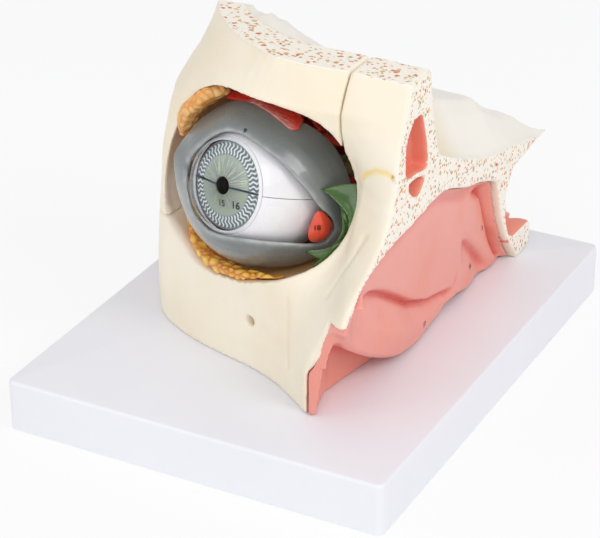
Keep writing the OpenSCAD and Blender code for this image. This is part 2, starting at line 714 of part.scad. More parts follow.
// Broad thin front of the levator, bent over the eye behind the upper lid
module levator_fan(from_turn, to_turn, from_tilt) {
    far = 2 * levator_r;
    last_tilt = 106;
    intersection() {
        turned() intersection() {
            difference() {
                circle(levator_r);
                circle(levator_r - levator_t);
            }
            polygon([[0, 0], far * [sin(from_tilt), cos(from_tilt)], far * [sin(last_tilt), cos(last_tilt)]]);
        }
        rotate([90, 0, 0]) translate([0, 0, -far]) linear_extrude(2 * far)
            polygon([[0, 0], far * [cos(from_turn), sin(from_turn)], far * [cos(to_turn), sin(to_turn)]]);
    }
}
levator_r = 52.2;
levator_t = 2;

module levator() {
    in_eye() color("#b8352c") {
        levator_fan(62, 108, 81);
        levator_fan(49, 63, 96);
    }
    muscle([[9, 6, 50], [12, 16, 49.2], [16, 34, 48.4], [21, 60, 46.6], [26, 84, 44]], 22, 0.8);
}
module superior_oblique() {
    muscle([[10, 10, 45.4], [23, 9, 40], [36, 12, 34], [40.5, 40, 33], [34.5, 80, 40]], 7, 0.7);
}
module inferior_oblique() {
    muscle([[-42, 18, -18], [-38, 14, -31], [-22, 10, -45.1], [2, 8, -49.2], [26, 14, -40]], 9, 0.35);
}

// ---------- eyelids ----------

// Rows of [turn, tilt from the gaze, outer radius], for the opening and for the outer edge
lid_opening = [
    [162, 38, 47.9], [145, 35, 48.3], [128, 35, 48.5], [110, 38, 49], [93, 42, 49.2], [75, 44.5, 49.4],
    [57, 47, 49.8], [43, 51, 50], [33, 56, 50.4], [19, 64, 51], [7, 74, 52], [-3, 83, 53], [-9, 93, 54.5],
    [-18, 101, 56], [-28, 99, 55.5], [-31, 88, 53.5], [-34, 73, 51], [-42, 56, 49.6], [-55, 45, 48.6],
    [-75, 38.5, 48.4], [-100, 37, 48.3], [-130, 36, 48.2], [-160, 36, 48], [-182, 37, 47.9]
];
lid_outer = [
    [168, 54, 56.5], [152, 58, 54.5], [134, 63, 53.8], [116, 71, 53.2], [100, 74, 52.6], [80, 73, 52],
    [66, 75, 51.6], [55, 88, 52.4], [44, 97, 53.5], [32, 103, 55], [19, 106, 57], [8, 107, 59],
    [-4, 107, 60.2], [-16, 108, 60.8], [-30, 107, 59.4], [-42, 103, 57], [-54, 96, 54.4], [-66, 86, 52.4],
    [-78, 76, 51.4], [-90, 70, 51], [-108, 65, 51], [-132, 61, 51.4], [-156, 57, 52.4], [-178, 53, 54.4]
];
lid_steps = 3;

function from_gaze(turn, tilt, r) = [r * sin(tilt) * cos(turn), -r * cos(tilt), r * sin(tilt) * sin(turn)];
function to_points(rows) = [for (r = rows) from_gaze(r[0], r[1], r[2])];

module eyelid_plate() {
    inner = smooth_ring(to_points(lid_opening), lid_steps);
    outer = smooth_ring(to_points(lid_outer), lid_steps);
    n = len(inner);
    steps = 5;
    edge_share = 0.6;
    function shell(i, t, in) =
        let (
            a = inner[i],
            b = outer[i],
            r = mix(norm(a), norm(b), t),
            p = mix(a, b, t)
        )
        p / norm(p) * (r - in);
    rings = concat(
        [for (s = [0:steps]) [for (i = [0:n - 1]) shell(i, mix(0.03, 0.97, s / steps), 0)]],
        [[for (i = [0:n - 1]) shell(i, 1, lid_t * 0.4)]],
        [for (s = [steps:-1:0]) [for (i = [0:n - 1])
            shell(i, mix(0.03, 0.97, s / steps), lid_t * (s == 0 ? edge_share : 1))]],
        [[for (i = [0:n - 1]) shell(i, 0, lid_t * edge_share / 2)]]
    );
    m = len(rings);
    in_eye() color("#7f8484") polyhedron(
        points = [for (r = rings) each r],
        faces = [for (k = [0:m - 1], i = [0:n - 1])
            let (a = k * n, b = ((k + 1) % m) * n, j = (i + 1) % n)
                each [[a + i, b + i, a + j], [a + j, b + i, b + j]]],
        convexity = 6
    );
}

module caruncle() {
    edge = smooth_ring(to_points([[-6, 84, 52], [-10, 93, 53.5], [-18, 99.5, 55], [-27, 97, 54.5], [-29, 88, 52.5],
        [-24, 83, 51.5], [-15, 82, 51.5]]), 3);
    middle = from_gaze(-19, 90, 54);
    dome = [for (s = [[1, 0.98], [1, 1], [0.82, 1.02], [0.5, 1.04], [0.18, 1.05]])
        [for (p = edge) let (q = mix(middle, p, s[0])) q * s[1]]];
    in_eye() color("#e14a33") hull()
        loft([for (r = concat([[for (p = edge) mix(middle, p, 0.9) * 0.95]], dome)) flip(r)]);
}

base_board();
board_screw_1();
board_screw_2();
board_screw_3();
skull_block();
nasal_wall();
frontal_sinus();
sphenoid_sinus();
orbital_fat();
lacrimal_sac();
roof_peg_front();
roof_peg_back();
orbit_roof();
lacrimal_gland();
sclera_lower();
optic_nerve();
medial_rectus();
lateral_rectus();
inferior_rectus();
inferior_oblique();
choroid_lower();
iris_lower();
vitreous_body();
lens();
choroid_upper();
iris_upper();
sclera_upper();
superior_rectus();
levator();
superior_oblique();
cornea();
eyelid_plate();
caruncle();
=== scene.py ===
import math

import bmesh
import bpy
import numpy as np
from mathutils import Matrix, Vector, noise
from mathutils.bvhtree import BVHTree
from mathutils.kdtree import KDTree


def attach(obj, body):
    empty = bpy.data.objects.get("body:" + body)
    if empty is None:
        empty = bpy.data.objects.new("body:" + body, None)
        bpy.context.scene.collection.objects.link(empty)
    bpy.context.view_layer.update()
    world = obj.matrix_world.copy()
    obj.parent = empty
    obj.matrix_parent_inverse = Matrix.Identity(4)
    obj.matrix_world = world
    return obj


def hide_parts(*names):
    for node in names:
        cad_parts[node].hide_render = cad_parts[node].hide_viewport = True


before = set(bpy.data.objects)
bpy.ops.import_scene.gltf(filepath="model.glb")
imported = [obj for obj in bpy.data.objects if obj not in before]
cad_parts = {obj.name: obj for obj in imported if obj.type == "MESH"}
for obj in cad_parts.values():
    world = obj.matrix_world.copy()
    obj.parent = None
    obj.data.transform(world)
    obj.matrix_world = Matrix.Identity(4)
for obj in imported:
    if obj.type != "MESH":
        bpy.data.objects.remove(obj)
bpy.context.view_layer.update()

MM = 0.001
MID_X = 84.0  # flat midline cut of the skull
CUT_Z = 222.0  # level cut through the forehead
EYE = Vector((-18.0, -38.0, 134.0))  # middle of the eyeball
EYE_R = 44.0
GAZE_UP = math.radians(16.8)
GAZE_OUT = math.radians(15.6)


# ---------- camera ----------


# Fitted to the photograph: degrees round and down, lens in millimetres, place in metres
PHOTO_TURN, PHOTO_TILT, PHOTO_LENS = 27.649, 28.087, 138.76
PHOTO_PLACE = (0.5821, -1.1358, 0.7425)


def make_camera():
    turn, tilt = math.radians(PHOTO_TURN), math.radians(PHOTO_TILT)
    right = Vector((math.cos(turn), math.sin(turn), 0))
    back = Vector((math.sin(turn) * math.cos(tilt), -math.cos(turn) * math.cos(tilt), math.sin(tilt)))
    up = back.cross(right)
    data = bpy.data.cameras.new("photo_camera")
    data.sensor_fit = "HORIZONTAL"
    data.sensor_width = 36
    data.lens = PHOTO_LENS
    data.clip_start = 0.05
    data.clip_end = 20
    camera = bpy.data.objects.new("photo_camera", data)
    bpy.context.scene.collection.objects.link(camera)
    turned = Matrix((right, up, back)).transposed().to_4x4()
    camera.matrix_world = Matrix.Translation(PHOTO_PLACE) @ turned
    bpy.context.scene.camera = camera


make_camera()
bpy.context.scene.view_settings.view_transform = "Standard"

# ---------- places on the eye ----------

EYE_TURN = Matrix.Rotation(-GAZE_UP, 3, "X") @ Matrix.Rotation(-GAZE_OUT, 3, "Z")


def from_eye(x, y, z):
    """Point of the model, in metres, from millimetres round the eye: y runs back, away from the gaze."""
    return (EYE_TURN @ Vector((x, y, z)) + EYE) * MM


def to_eye(points):
    """Millimetres round the eye for an array of points in metres."""
    turn = np.array(EYE_TURN)
    return (points / MM - np.array(EYE)) @ turn


def round_gaze(radius, turn, forward, side=1):
    """Point at a radius and a turn round the gaze, so far forward of the middle of the eye."""
    return from_eye(radius * math.cos(turn), -forward, side * radius * math.sin(turn))


# ---------- mesh tools ----------


def link(obj):
    bpy.context.scene.collection.objects.link(obj)
    return obj


def from_work(label, work):
    """New object from a bmesh, which is used up."""
    mesh = bpy.data.meshes.new(label)
    work.to_mesh(mesh)
    work.free()
    return link(bpy.data.objects.new(label, mesh))


def welded(label, source):
    """Welded copy of a CAD node."""
    work = bmesh.new()
    work.from_mesh(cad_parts[source].data)
    bmesh.ops.remove_doubles(work, verts=work.verts, dist=0.004 * MM)
    return from_work(label, work)


def face_towards(work, ahead):
    """Turns the faces of an open sheet so that they look ahead."""
    bmesh.ops.recalc_face_normals(work, faces=work.faces)
    if sum(face.normal.dot(ahead) for face in work.faces) < 0:
        bmesh.ops.reverse_faces(work, faces=work.faces)


def thicken(obj, thickness):
    """Gives a sheet a wall behind its front face; the caller settles it."""
    wall = obj.modifiers.new("wall", "SOLIDIFY")
    wall.thickness = thickness * MM
    wall.offset = -1


def settle(obj):
    """Turns an object's modifiers into plain mesh."""
    graph = bpy.context.evaluated_depsgraph_get()
    mesh = bpy.data.meshes.new_from_object(obj.evaluated_get(graph))
    obj.modifiers.clear()
    obj.data = mesh
    return obj


def soften(obj, rounds, factor):
    smooth = obj.modifiers.new("soften", "SMOOTH")
    smooth.iterations = rounds
    smooth.factor = factor
    return settle(obj)


def remesh(obj, voxel, rounds=3, factor=0.5):
    skin = obj.modifiers.new("skin", "REMESH")
    skin.mode = "VOXEL"
    skin.voxel_size = voxel * MM
    settle(obj)
    return soften(obj, rounds, factor)


def coords(obj):
    got = np.empty(len(obj.data.vertices) * 3)
    obj.data.vertices.foreach_get("co", got)
    return got.reshape(-1, 3)


def normals(obj):
    got = np.empty(len(obj.data.vertices) * 3)
    obj.data.vertices.foreach_get("normal", got)
    return got.reshape(-1, 3)


def put_coords(obj, co):
    obj.data.vertices.foreach_set("co", co.astype(np.float32).ravel())
    obj.data.update()


def put_value(obj, name, values):
    """Stores one number for each point, for the material to read."""
    data = obj.data.attributes.get(name) or obj.data.attributes.new(name, "FLOAT", "POINT")
    data.data.foreach_set("value", np.clip(values, 0, 1).astype(np.float32))


def to_line(co, line):
    """Distance in millimetres from points to a line through some places."""
    co = co / MM
    best = np.full(len(co), 1e9)
    for a, b in zip(line, line[1:]):
        a, b = np.array(a, float), np.array(b, float)
        run = b - a
        share = np.clip(((co - a) @ run) / (run @ run), 0, 1)
        best = np.minimum(best, np.linalg.norm(co - a - share[:, None] * run, axis=1))
    return best


def ridge(co, line, width):
    """1 on a line, falling softly to 0 at about twice its width."""
    return np.exp(-((to_line(co, line) / width) ** 2))


def hollows(obj, rounds, depth):
    """1 in hollows at least so many millimetres deep, 0 on flat ground and ridges."""
    twin = link(obj.copy())
    twin.data = obj.data.copy()
    soften(twin, rounds, 0.9)
    sink = ((coords(twin) - coords(obj)) * normals(obj)).sum(1) / MM
    bpy.data.objects.remove(twin)
    return np.clip(sink / depth, 0, 1)


def wobble(co, size, seed):
    """Smooth noise from -1 to 1 at the points; size is in millimetres."""
    shift = Vector((seed * 7.1, seed * 3.3, seed * 5.7))
    return np.array([noise.noise(Vector(p) / (size * MM) + shift) for p in co])


def lobules(co, size, seed):
    """Rounded lumps side by side: 1 in the middle of a lump and 0 between lumps."""
    shift = Vector((seed * 2.3, seed * 8.9, seed * 4.1))
    out = np.empty(len(co))
    for i, p in enumerate(co):
        gaps = noise.voronoi(Vector(p) / (size * MM) + shift, distance_metric="DISTANCE", exponent=2)[0]
        out[i] = min(1, (gaps[1] - gaps[0]) * 1.6)
    return out


def shade(obj, angle=32):
    """Smooth faces, with an edge kept sharp where it turns by more than the angle."""
    work = bmesh.new()
    work.from_mesh(obj.data)
    limit = math.radians(angle)
    for face in work.faces:
        face.smooth = True
    for edge in work.edges:
        edge.smooth = len(edge.link_faces) == 2 and edge.calc_face_angle(0) < limit
    work.to_mesh(obj.data)
    work.free()
    return obj


def swell(obj, rise):
    """Moves each point out by its own rise in millimetres."""
    put_coords(obj, coords(obj) + normals(obj) * rise[:, None] * MM)


def finish_piece(obj, material, body, slot, *replaced):
    """Paints a piece, ties it to its body and hides the CAD nodes that it replaces; its slot is not used."""
    obj.data.materials.clear()
    obj.data.materials.append(material)
    for face in obj.data.polygons:
        face.material_index = 0
    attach(obj, body)
    if replaced:
        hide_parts(*replaced)
    return obj


def revolve(label, profile, steps):
    """Closed ring turned about the gaze from (radius, forward) places in millimetres."""
    work = bmesh.new()
    rings = []
    for k in range(steps):
        turn = 2 * math.pi * k / steps
        rings.append([work.verts.new(round_gaze(r, turn, y)) for r, y in profile])
    count = len(profile)
    for a, b in zip(rings, rings[1:] + rings[:1]):
        for i in range(count):
            j = (i + 1) % count
            work.faces.new((a[i], a[j], b[j], b[i]))
    bmesh.ops.recalc_face_normals(work, faces=work.faces)
    return from_work(label, work)


# ---------- material tools ----------


def srgb(r, g, b):
    """Linear colour and its alpha, from screen values of 0 to 255."""
    linear = [((c / 255 + 0.055) / 1.055) ** 2.4 if c > 10 else c / 255 / 12.92 for c in (r, g, b)]
    return (*linear, 1.0)


def feed(tree, socket, value):
    """Links another node's socket to this one, or sets its constant."""
    if isinstance(value, bpy.types.NodeSocket):
        tree.links.new(value, socket)
    else:
        socket.default_value = value


def node(tree, kind, inputs=None, **settings):
    made = tree.nodes.new(kind)
    for key, value in settings.items():
        setattr(made, key, value)
    for key, value in (inputs or {}).items():
        feed(tree, made.inputs[key], value)
    return made


def noise_node(tree, place, scale, detail):
    return node(tree, "ShaderNodeTexNoise", {"Vector": place, "Scale": scale, "Detail": detail}).outputs


def vector_maths(tree, kind, inputs):
    return node(tree, "ShaderNodeVectorMath", inputs, operation=kind).outputs[0]


def blend_colour(tree, factor, a, b):
    made = tree.nodes.new("ShaderNodeMix")
    made.data_type = "RGBA"
    for index, value in ((0, factor), (6, a), (7, b)):
        feed(tree, made.inputs[index], value)
    return made.outputs[2]


def maths(tree, kind, a, b=0.0, c=0.0, clamp=False):
    return node(tree, "ShaderNodeMath", {0: a, 1: b, 2: c}, operation=kind, use_clamp=clamp).outputs[0]


def step_up(tree, value, low, high):
    """0 at the low value and 1 at the high one, and straight between them."""
    made = node(tree, "ShaderNodeMapRange", {"Value": value, "From Min": low, "From Max": high})
    return made.outputs["Result"]


def new_group(name, inputs, outputs):
    tree = bpy.data.node_groups.new(name, "ShaderNodeTree")
    for label, kind, value in inputs:
        socket = tree.interface.new_socket(label, in_out="INPUT", socket_type=kind)
        if value is not None:
            socket.default_value = value
    for label, kind in outputs:
        tree.interface.new_socket(label, in_out="OUTPUT", socket_type=kind)
    return tree, tree.nodes.new("NodeGroupInput").outputs, tree.nodes.new("NodeGroupOutput").inputs


def place_group(tree, group, inputs):
    return node(tree, "ShaderNodeGroup", inputs, node_tree=group).outputs


VEC, COL, NUM = "NodeSocketVector", "NodeSocketColor", "NodeSocketFloat"


def hand_paint_group():
    """Hand painted plastic: patchy colour, painted shade in hollows, soft change of gloss, fine brush height.
    """
    tree, given, out = new_group(
        "hand_paint",
        [
            ("Vector", VEC, None),
            ("Colour", COL, (0.8, 0.8, 0.8, 1)),
            ("Patch", COL, (0.7, 0.7, 0.7, 1)),
            ("Shade_Tone", COL, (0.4, 0.4, 0.4, 1)),
            ("Hollow", NUM, 0.0),
            ("Scale", NUM, 20.0),
            ("Gloss", NUM, 0.35),
        ],
        [("Colour", COL), ("Roughness", NUM), ("Height", NUM)],
    )
    patch = noise_node(tree, given["Vector"], given["Scale"], 3.0)["Fac"]
    share = step_up(tree, patch, 0.38, 0.68)
    colour = blend_colour(tree, share, given["Colour"], given["Patch"])
    # Painted shade: the deep tone laid into the hollows
    colour = blend_colour(tree, given["Hollow"], colour, given["Shade_Tone"])
    tree.links.new(colour, out["Colour"])
    fine = noise_node(tree, given["Vector"], 900.0, 2.0)["Fac"]
    worn = noise_node(tree, given["Vector"], 70.0, 4.0)["Fac"]
    gloss = maths(tree, "MULTIPLY_ADD", worn, 0.16, given["Gloss"])
    tree.links.new(maths(tree, "SUBTRACT", gloss, 0.08, clamp=True), out["Roughness"])
    tree.links.new(maths(tree, "MULTIPLY_ADD", worn, 2.0, fine), out["Height"])
    return tree


def marrow_group():
    """Painted flecks of spongy bone on the cut faces: bent cells of five tones, a soft blush round each."""
    tree, given, out = new_group(
        "marrow_flecks",
        [("Vector", VEC, None), ("Depth", NUM, 1.0), ("Cells", NUM, 300.0)],
        [("Colour", COL), ("Mask", NUM), ("Blush", NUM)],
    )
    bend = noise_node(tree, given["Vector"], 260.0, 2.0)["Color"]
    shift = vector_maths(tree, "SUBTRACT", {0: bend, 1: (0.5, 0.5, 0.5)})
    small = vector_maths(tree, "SCALE", {0: shift, "Scale": 0.0042})
    place = vector_maths(tree, "ADD", {0: given["Vector"], 1: small})
    stretch = {"Vector": place, "Rotation": (0.7, 0.5, 0.6), "Scale": (0.62, 1, 1)}
    long = node(tree, "ShaderNodeMapping", stretch)
    cells = node(tree, "ShaderNodeTexVoronoi", {"Vector": long.outputs[0], "Scale": given["Cells"]})
    parts = node(tree, "ShaderNodeSeparateColor", {"Color": cells.outputs["Color"]})
    size = maths(tree, "MULTIPLY_ADD", parts.outputs[0], 0.24, 0.2)
    spot = maths(tree, "LESS_THAN", cells.outputs["Distance"], size)
    chosen = maths(tree, "GREATER_THAN", parts.outputs[1], 0.12)
    deep = step_up(tree, given["Depth"], 0.35, 0.75)
    mask = maths(tree, "MULTIPLY", maths(tree, "MULTIPLY", spot, chosen), deep)
    tones = node(tree, "ShaderNodeValToRGB", {"Fac": parts.outputs[2]})
    ramp = tones.color_ramp
    ramp.interpolation = "CONSTANT"
    ramp.elements[0].color = srgb(222, 134, 86)
    ramp.elements[1].position = 0.3
    ramp.elements[1].color = srgb(232, 184, 122)
    for place_at, tone in ((0.55, (214, 176, 112)), (0.76, (208, 92, 60)), (0.86, (186, 176, 128))):
        ramp.elements.new(place_at).color = srgb(*tone)
    tree.links.new(tones.outputs["Color"], out["Colour"])
    tree.links.new(mask, out["Mask"])
    halo = step_up(tree, cells.outputs["Distance"], 0.55, 0.1)
    blush = maths(tree, "MULTIPLY", halo, maths(tree, "MULTIPLY", chosen, deep))
    tree.links.new(blush, out["Blush"])
    return tree


def fibre_group():
    """Fine lines along one direction, for muscle and tendon."""
    inputs = [("Vector", VEC, None), ("Stretch", VEC, (900, 60, 900))]
    tree, given, out = new_group("fibres", inputs, [("Lines", NUM)])
    drawn_out = vector_maths(tree, "MULTIPLY", {0: given["Vector"], 1: given["Stretch"]})
    lines = noise_node(tree, drawn_out, 1.0, 4.0)["Fac"]
    tree.links.new(step_up(tree, lines, 0.32, 0.66), out["Lines"])
    return tree


HAND_PAINT = hand_paint_group()
MARROW = marrow_group()
FIBRES = fibre_group()


def new_material(name):
    made = bpy.data.materials.new(name)
    made.use_nodes = True
    tree = made.node_tree
    tree.nodes.clear()
    shader = tree.nodes.new("ShaderNodeBsdfPrincipled")
    end = tree.nodes.new("ShaderNodeOutputMaterial")
    tree.links.new(shader.outputs[0], end.inputs[0])
    return made, tree, shader


def object_place(tree):
    return tree.nodes.new("ShaderNodeTexCoord").outputs["Object"]


def point_value(tree, name):
    return node(tree, "ShaderNodeAttribute", attribute_name=name).outputs["Fac"]


def bump(tree, height, shader, distance):
    made = node(tree, "ShaderNodeBump", {"Height": height, "Distance": distance, "Strength": 1.0})
    tree.links.new(made.outputs[0], shader.inputs["Normal"])


def hand_paint(tree, place, colour, patch, deep, hollow, scale, gloss):
    inputs = {"Colour": srgb(*colour), "Patch": srgb(*patch), "Shade_Tone": srgb(*deep)}
    inputs.update({"Vector": place, "Hollow": hollow, "Scale": scale, "Gloss": gloss})
    return place_group(tree, HAND_PAINT, inputs)


def painted(
    name, colour, patch, deep, scale, gloss, coat=0.0, hollow=False, height=0.00004, rubbed=None, haze=0.12
):
    """Hand painted finish: its deep tone is painted shade, laid at the point value of the hollows; its rubbed
    tone at 'margin'.
    """
    made, tree, shader = new_material(name)
    place = object_place(tree)
    # Painted shade: the deep tone follows the stored point value of the hollows
    shade_share = point_value(tree, "hollow") if hollow else 0.0
    paint = hand_paint(tree, place, colour, patch, deep, shade_share, scale, gloss)
    colour, rough = paint["Colour"], paint["Roughness"]
    if rubbed:
        colour = blend_colour(tree, point_value(tree, "margin"), colour, srgb(*rubbed))
        grain = noise_node(tree, place, 1500.0, 1.0)["Fac"]
        rough = maths(tree, "SUBTRACT", maths(tree, "MULTIPLY_ADD", grain, 0.24, rough), 0.1, clamp=True)
    tree.links.new(colour, shader.inputs["Base Color"])
    tree.links.new(rough, shader.inputs["Roughness"])
    shader.inputs["Coat Weight"].default_value = coat
    shader.inputs["Coat Roughness"].default_value = haze
    bump(tree, paint["Height"], shader, height)
    return made


# Tones that the stored point values of the bone bring in, laid on in this order. The brown inside the orbit
# is painted shade, and the dark brown along the suture on the cut face is painted shade in its gap.
BONE_TONES = (
    ("inside", (196, 150, 98)),
    ("cranial", (250, 245, 236)),
    ("suture", (250, 222, 146)),
    ("suture_cut_shade", (150, 92, 40)),
    ("lining", (240, 150, 128)),
)


def bone_material():
    """Ivory paint with painted shade in its hollows, the orbit and a suture's gap, and the flecks of spongy
    bone where a point lies on one of the two flat cuts.
    """
    made, tree, shader = new_material("cast_bone")
    place = object_place(tree)
    shade_share = point_value(tree, "hollow")
    paint = hand_paint(tree, place, (248, 239, 221), (243, 231, 207), (205, 168, 118), shade_share, 16.0, 0.42)
    colour = paint["Colour"]
    for value, tone in BONE_TONES:
        colour = blend_colour(tree, point_value(tree, value), colour, srgb(*tone))
    parts = node(tree, "ShaderNodeSeparateXYZ", {"Vector": place})
    on_side = step_up(tree, parts.outputs[0], (MID_X - 0.5) * MM, (MID_X - 0.3) * MM)
    on_top = step_up(tree, parts.outputs[2], (CUT_Z - 0.5) * MM, (CUT_Z - 0.3) * MM)
    on_cut = maths(tree, "MAXIMUM", on_side, on_top)
    flecks = place_group(tree, MARROW, {"Vector": place, "Depth": point_value(tree, "cut"), "Cells": 390.0})
    face = blend_colour(tree, flecks["Blush"], srgb(252, 246, 234), srgb(250, 232, 210))
    face = blend_colour(tree, flecks["Mask"], face, flecks["Colour"])
    colour = blend_colour(tree, on_cut, colour, face)
    tree.links.new(colour, shader.inputs["Base Color"])
    tree.links.new(paint["Roughness"], shader.inputs["Roughness"])
    pits = maths(tree, "MULTIPLY", maths(tree, "MULTIPLY", flecks["Mask"], on_cut), -6.0)
    bump(tree, maths(tree, "ADD", paint["Height"], pits), shader, 0.00005)
    return made


def muscle_material(name, stretch, tendon=True, tones=((150, 18, 18), (204, 52, 44))):
    made, tree, shader = new_material(name)
    place = object_place(tree)
    lines = place_group(tree, FIBRES, {"Vector": place, "Stretch": stretch})["Lines"]
    colour = blend_colour(tree, lines, srgb(*tones[0]), srgb(*tones[1]))
    if tendon:
        pale = blend_colour(tree, lines, srgb(214, 190, 180), srgb(248, 240, 232))
        colour = blend_colour(tree, point_value(tree, "tendon"), colour, pale)
    tree.links.new(colour, shader.inputs["Base Color"])
    rough = maths(tree, "MULTIPLY_ADD", lines, 0.2, 0.24)
    tree.links.new(rough, shader.inputs["Roughness"])
    bump(tree, lines, shader, 0.0003)
    return made


def clear_material(name, colour, roughness, ior):
    made, tree, shader = new_material(name)
    place = object_place(tree)
    haze = noise_node(tree, place, 90.0, 2.0)["Fac"]
    tint = blend_colour(tree, haze, srgb(*colour), srgb(250, 252, 253))
    tree.links.new(tint, shader.inputs["Base Color"])
    shader.inputs["Metallic"].default_value = 0.0
    shader.inputs["Roughness"].default_value = roughness
    shader.inputs["IOR"].default_value = ior
    shader.inputs["Transmission Weight"].default_value = 1.0
    return made


STROKES, STROKE_WAVE, STROKE_BEND = 50, 30.0, 0.0042  # wavy strokes round the iris, and how they bend


def iris_material(name, lines_tone):
    """Painted iris: green grey fibres round the pupil and a ring of white wavy strokes."""
    made, tree, shader = new_material(name)
    uv = node(tree, "ShaderNodeUVMap", uv_map="polar").outputs["UV"]
    parts = node(tree, "ShaderNodeSeparateXYZ", {"Vector": uv})
    around, out = parts.outputs[0], parts.outputs[1]
    wave = maths(tree, "SINE", maths(tree, "MULTIPLY", out, STROKE_WAVE))
    bent = maths(tree, "MULTIPLY_ADD", wave, STROKE_BEND, around)
    stroke = maths(tree, "SINE", maths(tree, "MULTIPLY", bent, STROKES * 2 * math.pi))
    stroke = step_up(tree, stroke, 0.0, 0.5)
    band = maths(tree, "MULTIPLY", step_up(tree, out, 0.62, 0.66), step_up(tree, out, 0.97, 0.93))
    sides = {"X": maths(tree, "MULTIPLY", around, 110.0), "Y": maths(tree, "MULTIPLY", out, 1.6)}
    wide = node(tree, "ShaderNodeCombineXYZ", sides)
    fibres = noise_node(tree, wide.outputs[0], 1.0, 3.0)["Fac"]
    streak = step_up(tree, fibres, 0.5, 0.62)
    ground = blend_colour(tree, step_up(tree, out, 0.0, 0.6), srgb(120, 126, 122), srgb(164, 170, 162))
    ground = blend_colour(tree, maths(tree, "MULTIPLY", streak, 0.8), ground, srgb(*lines_tone))
    ring = blend_colour(tree, stroke, srgb(118, 124, 126), srgb(240, 243, 245))
    ground = blend_colour(tree, step_up(tree, out, 0.6, 0.64), ground, srgb(132, 138, 138))
    colour = blend_colour(tree, band, ground, ring)
    # Painted shade along the seam between the two halves
    colour = blend_colour(tree, point_value(tree, "seam"), colour, srgb(58, 68, 74))
    tree.links.new(colour, shader.inputs["Base Color"])
    shader.inputs["Roughness"].default_value = 0.45
    height = maths(tree, "MULTIPLY", stroke, band)
    bump(tree, maths(tree, "MULTIPLY_ADD", streak, 0.4, height), shader, 0.0002)
    return made


def metal_material():
    made, tree, shader = new_material("zinc_steel")
    place = object_place(tree)
    turned = noise_node(tree, place, 500.0, 3.0)["Fac"]
    colour = blend_colour(tree, turned, srgb(150, 150, 155), srgb(196, 196, 200))
    tree.links.new(colour, shader.inputs["Base Color"])
    tree.links.new(step_up(tree, turned, -0.6, 2.0), shader.inputs["Roughness"])
    shader.inputs["Metallic"].default_value = 1.0
    bump(tree, turned, shader, 0.00005)
    return made


BONE = bone_material()
STEEL = metal_material()
# Paints: main, patch and deep tone, the deep tone being painted shade for hollows, then the scale of the
# patches, the roughness and the clear coat
BOARD = painted("board_plastic", (240, 240, 246), (237, 237, 244), (200, 200, 210), 9.0, 0.36, height=0.00002)
MUCOSA = painted(
    "nose_lining", (240, 158, 146), (238, 148, 128), (220, 78, 70), 14.0, 0.36, 0.15, hollow=True
)
FAT = painted("fat_paint", (250, 214, 96), (242, 186, 72), (206, 112, 28), 70.0, 0.26, 0.3, hollow=True)
GLAND = painted("gland_paint", (244, 188, 108), (250, 216, 150), (226, 148, 66), 45.0, 0.3, 0.2, hollow=True)
WORN_SAC, WORN_LID = (150, 176, 130), (186, 190, 190)
SAC = painted(
    "sac_paint", (66, 104, 36), (54, 90, 30), (24, 48, 14), 60.0, 0.26, 0.3, hollow=True, rubbed=WORN_SAC
)
LID_TONES = ((116, 122, 122), (108, 114, 114), (64, 68, 70))
LID = painted("lid_paint", *LID_TONES, 18.0, 0.3, 1.0, hollow=True, rubbed=WORN_LID, haze=0.3)
RED = painted("caruncle_paint", (236, 84, 58), (228, 70, 48), (172, 34, 24), 80.0, 0.2, 0.5, hollow=True)
WHITE = painted("sclera_paint", (240, 239, 242), (236, 234, 239), (200, 198, 204), 20.0, 0.26, 0.3)
RIM = painted("cornea_rim_paint", (236, 237, 240), (230, 232, 236), (200, 200, 205), 40.0, 0.28, 0.3)
NERVE = painted("nerve_paint", (236, 216, 156), (228, 204, 138), (180, 140, 80), 60.0, 0.34, 0.1)
CHOROID = painted("choroid_paint", (96, 44, 38), (120, 52, 40), (40, 16, 16), 60.0, 0.4, 0.1)
INK = painted("number_ink", (44, 44, 46), (60, 60, 62), (20, 20, 20), 60.0, 0.5)
MUSCLE = muscle_material("muscle_paint", (700, 90, 700))
FLAP = muscle_material("levator_paint", (160, 500, 160), tones=((204, 44, 34), (226, 72, 58)))
CROSS_MUSCLE = muscle_material("cross_muscle_paint", (90, 700, 700), tendon=False)
CORNEA = clear_material("cornea_plastic", (244, 248, 249), 0.03, 1.12)
GLASS_BODY = clear_material("clear_body_plastic", (226, 238, 240), 0.06, 1.2)
LENS = clear_material("lens_plastic", (247, 241, 214), 0.04, 1.3)
IRIS_LOW = iris_material("iris_paint_low", (166, 174, 124))
IRIS_TOP = iris_material("iris_paint_top", (212, 212, 180))

# ---------- bone ----------

# Lines drawn on the bone, in millimetres
GROOVE = [
    (69.4, -77.1, 135.8), (65.3, -87.8, 124.3), (59.9, -89.6, 114.7), (56.3, -91.2, 107.4),
    (54.4, -93.8, 102.3),
]
CREASE = [
    (23.4, -85.9, 87.2), (25.1, -88.5, 78.9), (26.2, -91.2, 68.3), (27.7, -94.0, 58.6),
    (30.5, -98.1, 49.9),
]
SUTURE = [
    (57.3, -57.1, 161.6), (60.4, -59.2, 165.8), (68.5, -63.6, 171.6), (76.1, -66.0, 173.2),
    (81.2, -67.3, 172.2),
]
SUTURE_CUT = [(81.2, -67.3, 172.2), (84.0, -65.8, 167.2), (84.0, -60.0, 156.2)]
# Each line with the depth and the width of its groove
BONE_CARVING = ((GROOVE, 1.1, 2.6), (CREASE, 0.7, 2.2), (SUTURE, 0.8, 1.0), (SUTURE_CUT, 0.6, 0.8))

# Opened sinuses in the cut face: reach in y, reach in z, depth from the cut
FRONT_SINUS = ((-56, -24), (147, 200), 13.5)
BACK_SINUS = ((106, 150), (50, 83), 16)
BAR_Y, BAR_Z, BAR_FALL, BAR_HALF = -40, 160.0, 0.11, 2.6  # thin bone bar across the front sinus
